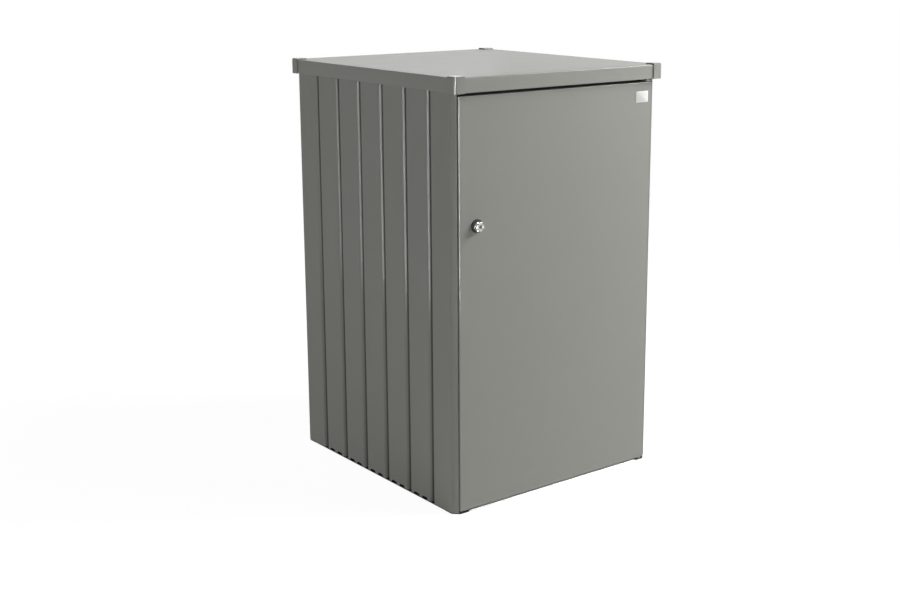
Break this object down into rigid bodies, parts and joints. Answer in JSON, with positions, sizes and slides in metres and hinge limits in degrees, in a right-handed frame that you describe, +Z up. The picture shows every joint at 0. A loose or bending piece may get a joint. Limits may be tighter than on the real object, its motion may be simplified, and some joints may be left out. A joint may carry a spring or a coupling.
{
  "type": "bin storage shed",
  "caption": "Tall sheet-steel garden box with ribbed walls, a front door with a turn lock and a flat lid on struts.",
  "frame": {"origin": "bottom centre of the shed's bounding box, on the ground", "axes": "+Z up, the front with the door faces -Y, +X to the right of a person who faces the door"},
  "size_m": [0.8, 0.882, 1.29],
  "materials": {
    "wall_paint": "satin metallic grey coating",
    "frame_paint": "matt grey coating on inner rails",
    "door_paint": "satin metallic grey coating",
    "lid_paint": "satin metallic grey coating",
    "hinge_steel": "zinc-plated steel",
    "bright_chrome": "polished",
    "dark_paint": "dark satin coating on frame, feet and lock plate",
    "strut_black": "black gloss paint",
    "black_rubber": "matt",
    "grey_nylon": "matt"
  },
  "bodies": {
    "shed": {"side_wall_left": "wall_paint", "side_wall_right": "wall_paint", "rear_wall": "wall_paint", "post_front_left": "wall_paint", "post_front_right": "wall_paint", "post_rear_left": "wall_paint", "post_rear_right": "wall_paint", "foot_plate_front_left": "dark_paint", "foot_plate_front_right": "dark_paint", "foot_plate_rear_left": "dark_paint", "foot_plate_rear_right": "dark_paint", "base_rail_left": "dark_paint", "base_rail_right": "dark_paint", "base_rail_rear": "dark_paint", "door_threshold": "hinge_steel", "top_rail_left": "frame_paint", "top_rail_right": "frame_paint", "top_rail_rear": "frame_paint", "door_header": "dark_paint", "door_pin_bottom": "hinge_steel", "door_hinge_bracket": "hinge_steel", "door_pin_top": "hinge_steel", "strike_plate": "hinge_steel", "door_rubber_strip": "black_rubber", "lid_rubber_strip": "black_rubber", "lid_hinge_wall_leaf_left": "hinge_steel", "lid_hinge_wall_leaf_right": "hinge_steel", "lid_hinge_pin_left": "hinge_steel", "lid_hinge_pin_right": "hinge_steel", "strut_lower_bracket_left": "hinge_steel", "strut_lower_bracket_right": "hinge_steel"},
    "door": {"door_panel": "door_paint", "door_stiffener_left": "frame_paint", "door_stiffener_right": "frame_paint", "door_lock_plate": "hinge_steel", "door_bush_bottom": "grey_nylon", "door_bush_top": "grey_nylon", "lock_rosette": "dark_paint", "lock_housing": "bright_chrome", "lock_nut": "hinge_steel"},
    "lock": {"lock_knob": "bright_chrome", "lock_cylinder": "bright_chrome", "lock_cam": "hinge_steel", "lock_cam_screw": "hinge_steel"},
    "lid": {"lid_panel": "lid_paint", "lid_cap_front_left": "lid_paint", "lid_cap_front_right": "lid_paint", "lid_cap_rear_left": "lid_paint", "lid_cap_rear_right": "lid_paint", "lid_rail_front": "frame_paint", "lid_rail_left": "frame_paint", "lid_rail_right": "frame_paint", "lid_hinge_lid_leaf_left": "hinge_steel", "lid_hinge_lid_leaf_right": "hinge_steel", "strut_upper_bracket_left": "hinge_steel", "strut_upper_bracket_right": "hinge_steel"},
    "left_strut_cylinder": {"strut_cylinder_left": "strut_black"},
    "right_strut_cylinder": {"strut_cylinder_right": "strut_black"},
    "left_strut_rod": {"strut_rod_left": "bright_chrome"},
    "right_strut_rod": {"strut_rod_right": "bright_chrome"}
  },
  "joints": [
    {"name": "door_hinge", "type": "hinge", "parent": "shed", "child": "door", "pos_m": [0.3605, -0.4155, 0.007], "axis": [0, 0, 1], "range_deg": [0, 110]},
    {"name": "lock_turn", "type": "hinge", "parent": "door", "child": "lock", "pos_m": [-0.3115, -0.422, 0.862], "axis": [0, 1, 0], "range_deg": [0, 90]},
    {"name": "lid_hinge", "type": "hinge", "parent": "shed", "child": "lid", "pos_m": [0, 0.429, 1.247], "axis": [-1, 0, 0], "range_deg": [0, 55]},
    {"name": "strut_tilt_left", "type": "hinge", "parent": "shed", "child": "left_strut_cylinder", "pos_m": [-0.355, 0.3725, 1.1012], "axis": [-1, 0, 0], "range_deg": [0, 22]},
    {"name": "strut_tilt_right", "type": "hinge", "parent": "shed", "child": "right_strut_cylinder", "pos_m": [0.355, 0.3725, 1.1012], "axis": [-1, 0, 0], "range_deg": [0, 22]},
    {"name": "strut_slide_left", "type": "slide", "parent": "left_strut_cylinder", "child": "left_strut_rod", "axis": [0, -0.3719, 0.9283], "range_m": [0, 0.081]},
    {"name": "strut_slide_right", "type": "slide", "parent": "right_strut_cylinder", "child": "right_strut_rod", "axis": [0, -0.3719, 0.9283], "range_m": [0, 0.081]}
  ],
  "couplings": [
    {"joint": "strut_tilt_left", "follows": "lid_hinge", "ratio": 0.38835},
    {"joint": "strut_tilt_right", "follows": "lid_hinge", "ratio": 0.38835},
    {"joint": "strut_slide_left", "follows": "lid_hinge", "m_per_rad": 0.083525},
    {"joint": "strut_slide_right", "follows": "lid_hinge", "m_per_rad": 0.083525}
  ]
}
